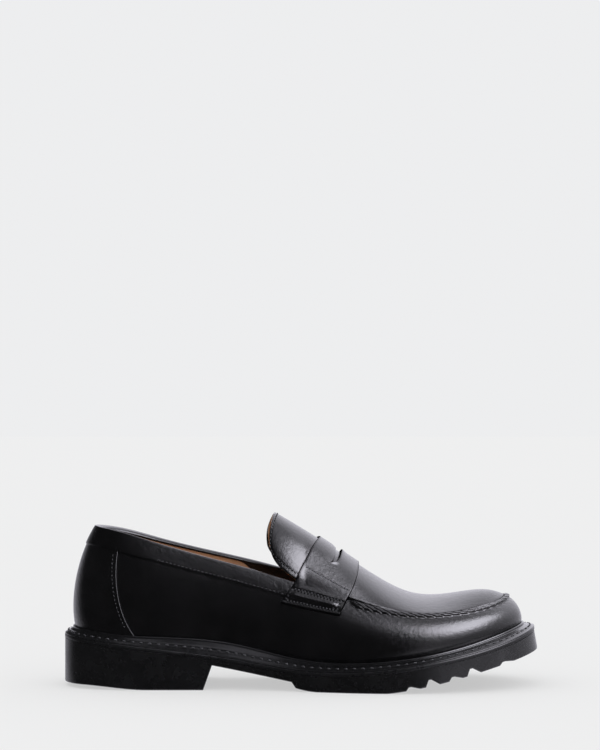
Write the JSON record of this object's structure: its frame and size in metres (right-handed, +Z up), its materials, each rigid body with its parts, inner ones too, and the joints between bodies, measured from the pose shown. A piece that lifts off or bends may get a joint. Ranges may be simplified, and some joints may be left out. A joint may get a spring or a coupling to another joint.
{
  "type": "penny loafer",
  "caption": "Slip-on shoe for the right foot: leather upper with apron seam, slotted saddle strap and tongue, stitched welt, low heel and lugged rubber sole.",
  "frame": {"origin": "on the ground, at the middle of the bounding box's bottom", "axes": "+X from heel to toe, -Y to the outer side of the right foot, +Z up"},
  "size_m": [0.2999, 0.1062, 0.1087],
  "materials": {
    "black_leather": "polished",
    "tan_leather": "matt lining leather",
    "black_rubber": "matt, finely textured",
    "welt_rubber": "satin",
    "black_thread": "waxed thread",
    "grey_thread": "waxed thread",
    "board": "raw fibre board",
    "cork": "granulated cork",
    "shank_steel": "bright",
    "foam": "latex foam",
    "stiffener": "impregnated felt"
  },
  "bodies": {
    "root": {"outsole": "black_rubber", "midsole": "black_rubber", "welt": "welt_rubber", "welt_stitching": "grey_thread", "cork_filler": "cork", "shank": "shank_steel", "insole_board": "board", "heel_pad": "foam", "sock_lining": "tan_leather", "vamp": "black_leather", "heel_cover": "black_leather", "heel_stiffener": "stiffener", "toe_puff": "stiffener", "apron": "black_leather", "apron_lining": "tan_leather", "vamp_lining": "tan_leather", "quarter_lining": "tan_leather", "collar": "black_leather", "saddle_strap": "black_leather", "strap_stitching": "black_thread", "apron_seam_thread": "black_thread", "collar_stitching": "black_thread", "heel_seam_stitching": "black_thread", "tongue_stitching": "black_thread"}
  },
  "joints": []
}
